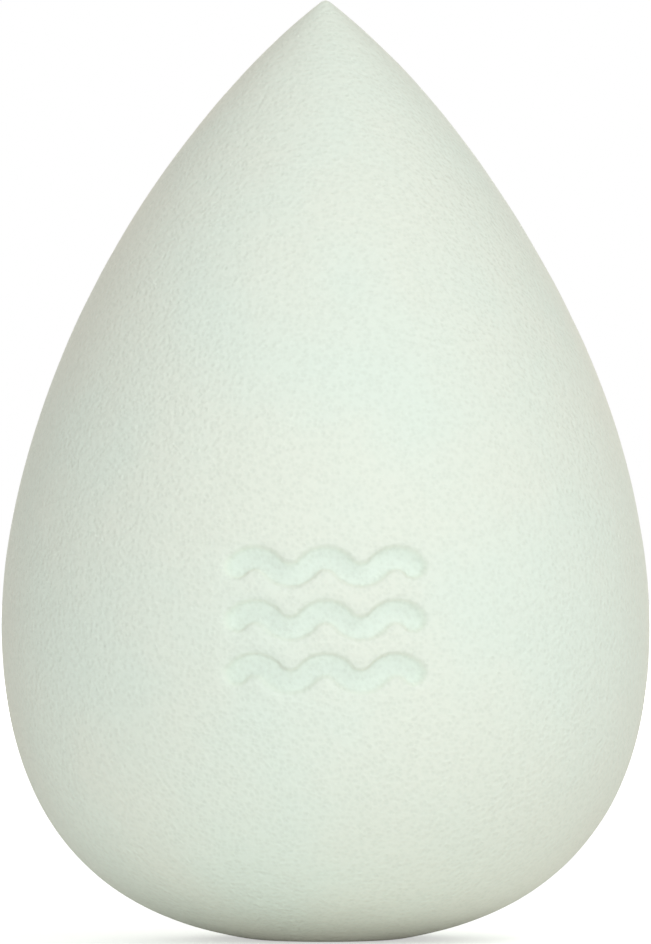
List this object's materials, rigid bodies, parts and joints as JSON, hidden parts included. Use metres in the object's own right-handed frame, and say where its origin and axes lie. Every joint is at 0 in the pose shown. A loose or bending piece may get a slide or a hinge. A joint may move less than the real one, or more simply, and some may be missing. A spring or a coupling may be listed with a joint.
{
  "type": "makeup sponge",
  "caption": "Drop-shaped makeup sponge of soft open-cell foam, with a rounded base that squashes when dabbed and a pointed tip that bends, for blending make-up on skin.",
  "frame": {"origin": "centre of the small flat that the sponge stands on", "axes": "+Z along the sponge's axis, from the rounded base to the pointed tip; -Y is the side with the pressed mark, +X is to the right when facing it"},
  "size_m": [0.0412, 0.0412, 0.0597],
  "materials": {
    "foam": "matte"
  },
  "bodies": {
    "base": {"rounded_base": "foam", "squeeze_band": "foam"},
    "waist": {"waist": "foam", "bend_band": "foam"},
    "tip": {"pointed_tip": "foam"}
  },
  "joints": [
    {"name": "squeeze", "type": "slide", "parent": "base", "child": "waist", "axis": [0, 0, -1], "range_m": [0, 0.009], "stiffness_N_per_m": 300, "deforming": ["squeeze_band"]},
    {"name": "tip_bend", "type": "hinge", "parent": "waist", "child": "tip", "pos_m": [0, 0, 0.048], "axis": [0, 1, 0], "range_deg": [-45, 45], "stiffness_Nm_per_rad": 0.004, "deforming": ["bend_band"]}
  ]
}
